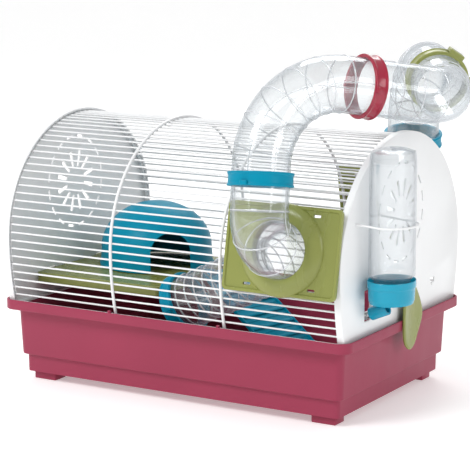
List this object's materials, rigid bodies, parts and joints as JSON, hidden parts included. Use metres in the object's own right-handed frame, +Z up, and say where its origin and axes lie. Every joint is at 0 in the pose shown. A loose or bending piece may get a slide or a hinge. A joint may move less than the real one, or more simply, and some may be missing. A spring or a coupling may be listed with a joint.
{
  "type": "hamster cage",
  "caption": "Small pet cage: deep plastic tray, arched wire hood with sheet end panels, clear outside tube loop, shelf, igloo, ramp and side water bottle.",
  "frame": {"origin": "on the ground, under the middle of the whole cage's overall box", "axes": "+X along the tray towards the bottle end, -Y towards the front plate, +Z up"},
  "size_m": [0.477, 0.42, 0.3685],
  "materials": {
    "tray_plastic": "satin moulded plastic",
    "white_steel": "white powder coat on steel",
    "green_plastic": "satin moulded plastic",
    "blue_plastic": "gloss moulded plastic",
    "red_plastic": "translucent gloss plastic",
    "clear_plastic": "clear polished plastic",
    "steel": "bright steel"
  },
  "bodies": {
    "tray": {"base_tray": "tray_plastic"},
    "cage_top": {"wire_hood": "white_steel", "left_end_panel": "white_steel", "right_end_panel": "white_steel", "front_plate": "green_plastic", "rear_plate": "green_plastic", "front_elbow": "clear_plastic", "rear_elbow": "clear_plastic", "front_bend": "clear_plastic", "rear_bend": "clear_plastic", "corner_elbow": "clear_plastic", "inner_tube": "clear_plastic", "shelf": "green_plastic", "bottle_bail": "white_steel", "left_latch_pin": "steel", "right_latch_pin": "steel"},
    "front_twist_ring": {"front_blue_ring": "blue_plastic"},
    "rear_twist_ring": {"rear_blue_ring": "blue_plastic"},
    "red_twist_ring": {"red_ring": "red_plastic"},
    "green_twist_ring": {"green_ring": "green_plastic"},
    "inner_twist_ring": {"inner_blue_ring": "blue_plastic"},
    "igloo": {"igloo": "blue_plastic"},
    "ramp": {"ramp": "blue_plastic"},
    "bottle": {"bottle": "clear_plastic", "bottle_cap": "blue_plastic", "spout_tube": "steel"},
    "spout_ball": {"spout_ball": "steel"},
    "left_latch": {"left_latch": "green_plastic"},
    "right_latch": {"right_latch": "green_plastic"}
  },
  "joints": [
    {"name": "hood_lift", "type": "slide", "parent": "tray", "child": "cage_top", "axis": [0, 0, 1], "range_m": [0, 0.15]},
    {"name": "front_ring_twist", "type": "hinge", "parent": "cage_top", "child": "front_twist_ring", "pos_m": [0.10948, -0.17388, 0.25351], "axis": [-0.0663, 0.1834, 0.9808], "range_deg": [-12, 12]},
    {"name": "rear_ring_twist", "type": "hinge", "parent": "cage_top", "child": "rear_twist_ring", "pos_m": [0.10574, 0.17385, 0.2532], "axis": [0.1167, -0.1826, 0.9762], "range_deg": [-12, 12]},
    {"name": "red_ring_twist", "type": "hinge", "parent": "cage_top", "child": "red_twist_ring", "pos_m": [0.16558, -0.06296, 0.33554], "axis": [0.5557, 0.8176, -0.1507], "range_deg": [-12, 12]},
    {"name": "green_ring_twist", "type": "hinge", "parent": "cage_top", "child": "green_twist_ring", "pos_m": [0.18311, 0.06557, 0.33193], "axis": [-0.5804, 0.7951, 0.1759], "range_deg": [-12, 12]},
    {"name": "inner_ring_twist", "type": "hinge", "parent": "cage_top", "child": "inner_twist_ring", "pos_m": [-0.03398, -0.08371, 0.09837], "axis": [-0.8975, 0.058, -0.4372], "range_deg": [-12, 12]},
    {"name": "igloo_lift", "type": "slide", "parent": "cage_top", "child": "igloo", "axis": [0, 0, 1], "range_m": [0, 0.03]},
    {"name": "ramp_lift", "type": "slide", "parent": "cage_top", "child": "ramp", "axis": [0, 0, 1], "range_m": [0, 0.04]},
    {"name": "bottle_lift", "type": "slide", "parent": "cage_top", "child": "bottle", "axis": [0, 0, 1], "range_m": [0, 0.015]},
    {"name": "ball_valve", "type": "slide", "parent": "bottle", "child": "spout_ball", "axis": [0.7839, 0, 0.6208], "range_m": [0, 0.0015]},
    {"name": "left_latch_swing", "type": "hinge", "parent": "cage_top", "child": "left_latch", "pos_m": [-0.23248, -0.00004, 0.1168], "axis": [0, 1, 0], "range_deg": [0, 22]},
    {"name": "right_latch_swing", "type": "hinge", "parent": "cage_top", "child": "right_latch", "pos_m": [0.18232, -0.00004, 0.1168], "axis": [0, -1, 0], "range_deg": [0, 22]}
  ]
}
